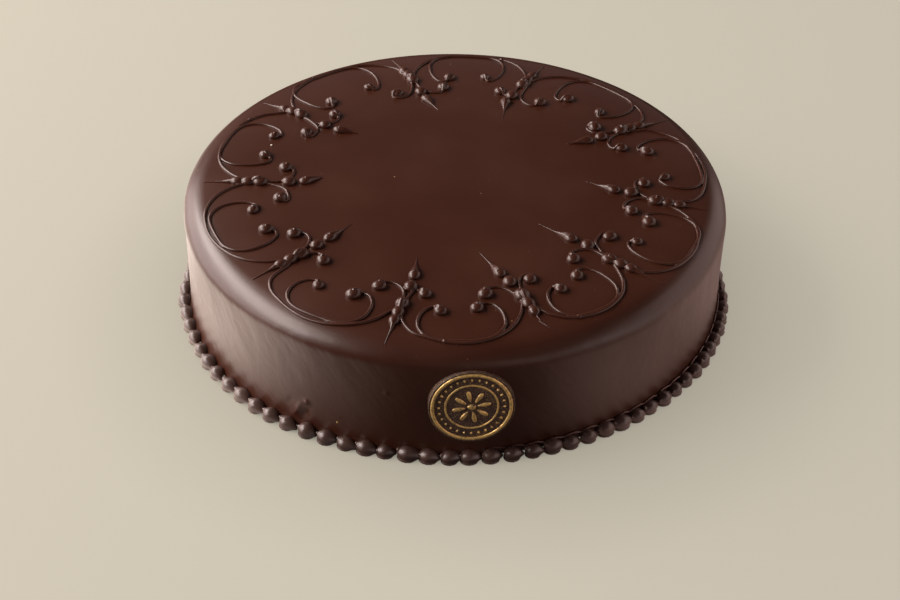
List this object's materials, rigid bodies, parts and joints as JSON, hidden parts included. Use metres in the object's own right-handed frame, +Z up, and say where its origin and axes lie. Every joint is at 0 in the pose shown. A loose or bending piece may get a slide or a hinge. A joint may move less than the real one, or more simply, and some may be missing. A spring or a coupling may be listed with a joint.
{
  "type": "chocolate torte",
  "caption": "Whole round chocolate torte with a poured glaze, piped garland motifs on top, a pearl border at the foot and a gilded seal on the side.",
  "frame": {"origin": "centre of the flat underside that the torte rests on", "axes": "+Z up, -Y towards the front, where the seal is"},
  "size_m": [0.2629, 0.2629, 0.0617],
  "materials": {
    "glaze": "glossy dark chocolate glaze with a slight haze",
    "piping": "glossy piped dark chocolate",
    "pearls": "satin piped chocolate",
    "gilt": "worn gold on dark chocolate"
  },
  "bodies": {
    "root": {"bud_1": "piping", "bud_10": "piping", "bud_2": "piping", "bud_3": "piping", "bud_4": "piping", "bud_5": "piping", "bud_6": "piping", "bud_7": "piping", "bud_8": "piping", "bud_9": "piping", "cake": "glaze", "drop_1": "piping", "drop_10": "piping", "drop_2": "piping", "drop_3": "piping", "drop_4": "piping", "drop_5": "piping", "drop_6": "piping", "drop_7": "piping", "drop_8": "piping", "drop_9": "piping", "garland_1": "piping", "garland_10": "piping", "garland_2": "piping", "garland_3": "piping", "garland_4": "piping", "garland_5": "piping", "garland_6": "piping", "garland_7": "piping", "garland_8": "piping", "garland_9": "piping", "pearl_border": "pearls", "scroll_10": "piping", "scroll_4": "piping", "scroll_9": "piping", "seal": "gilt", "stem_1": "piping", "stem_10": "piping", "stem_2": "piping", "stem_3": "piping", "stem_4": "piping", "stem_5": "piping", "stem_6": "piping", "stem_7": "piping", "stem_8": "piping", "stem_9": "piping"}
  },
  "joints": []
}
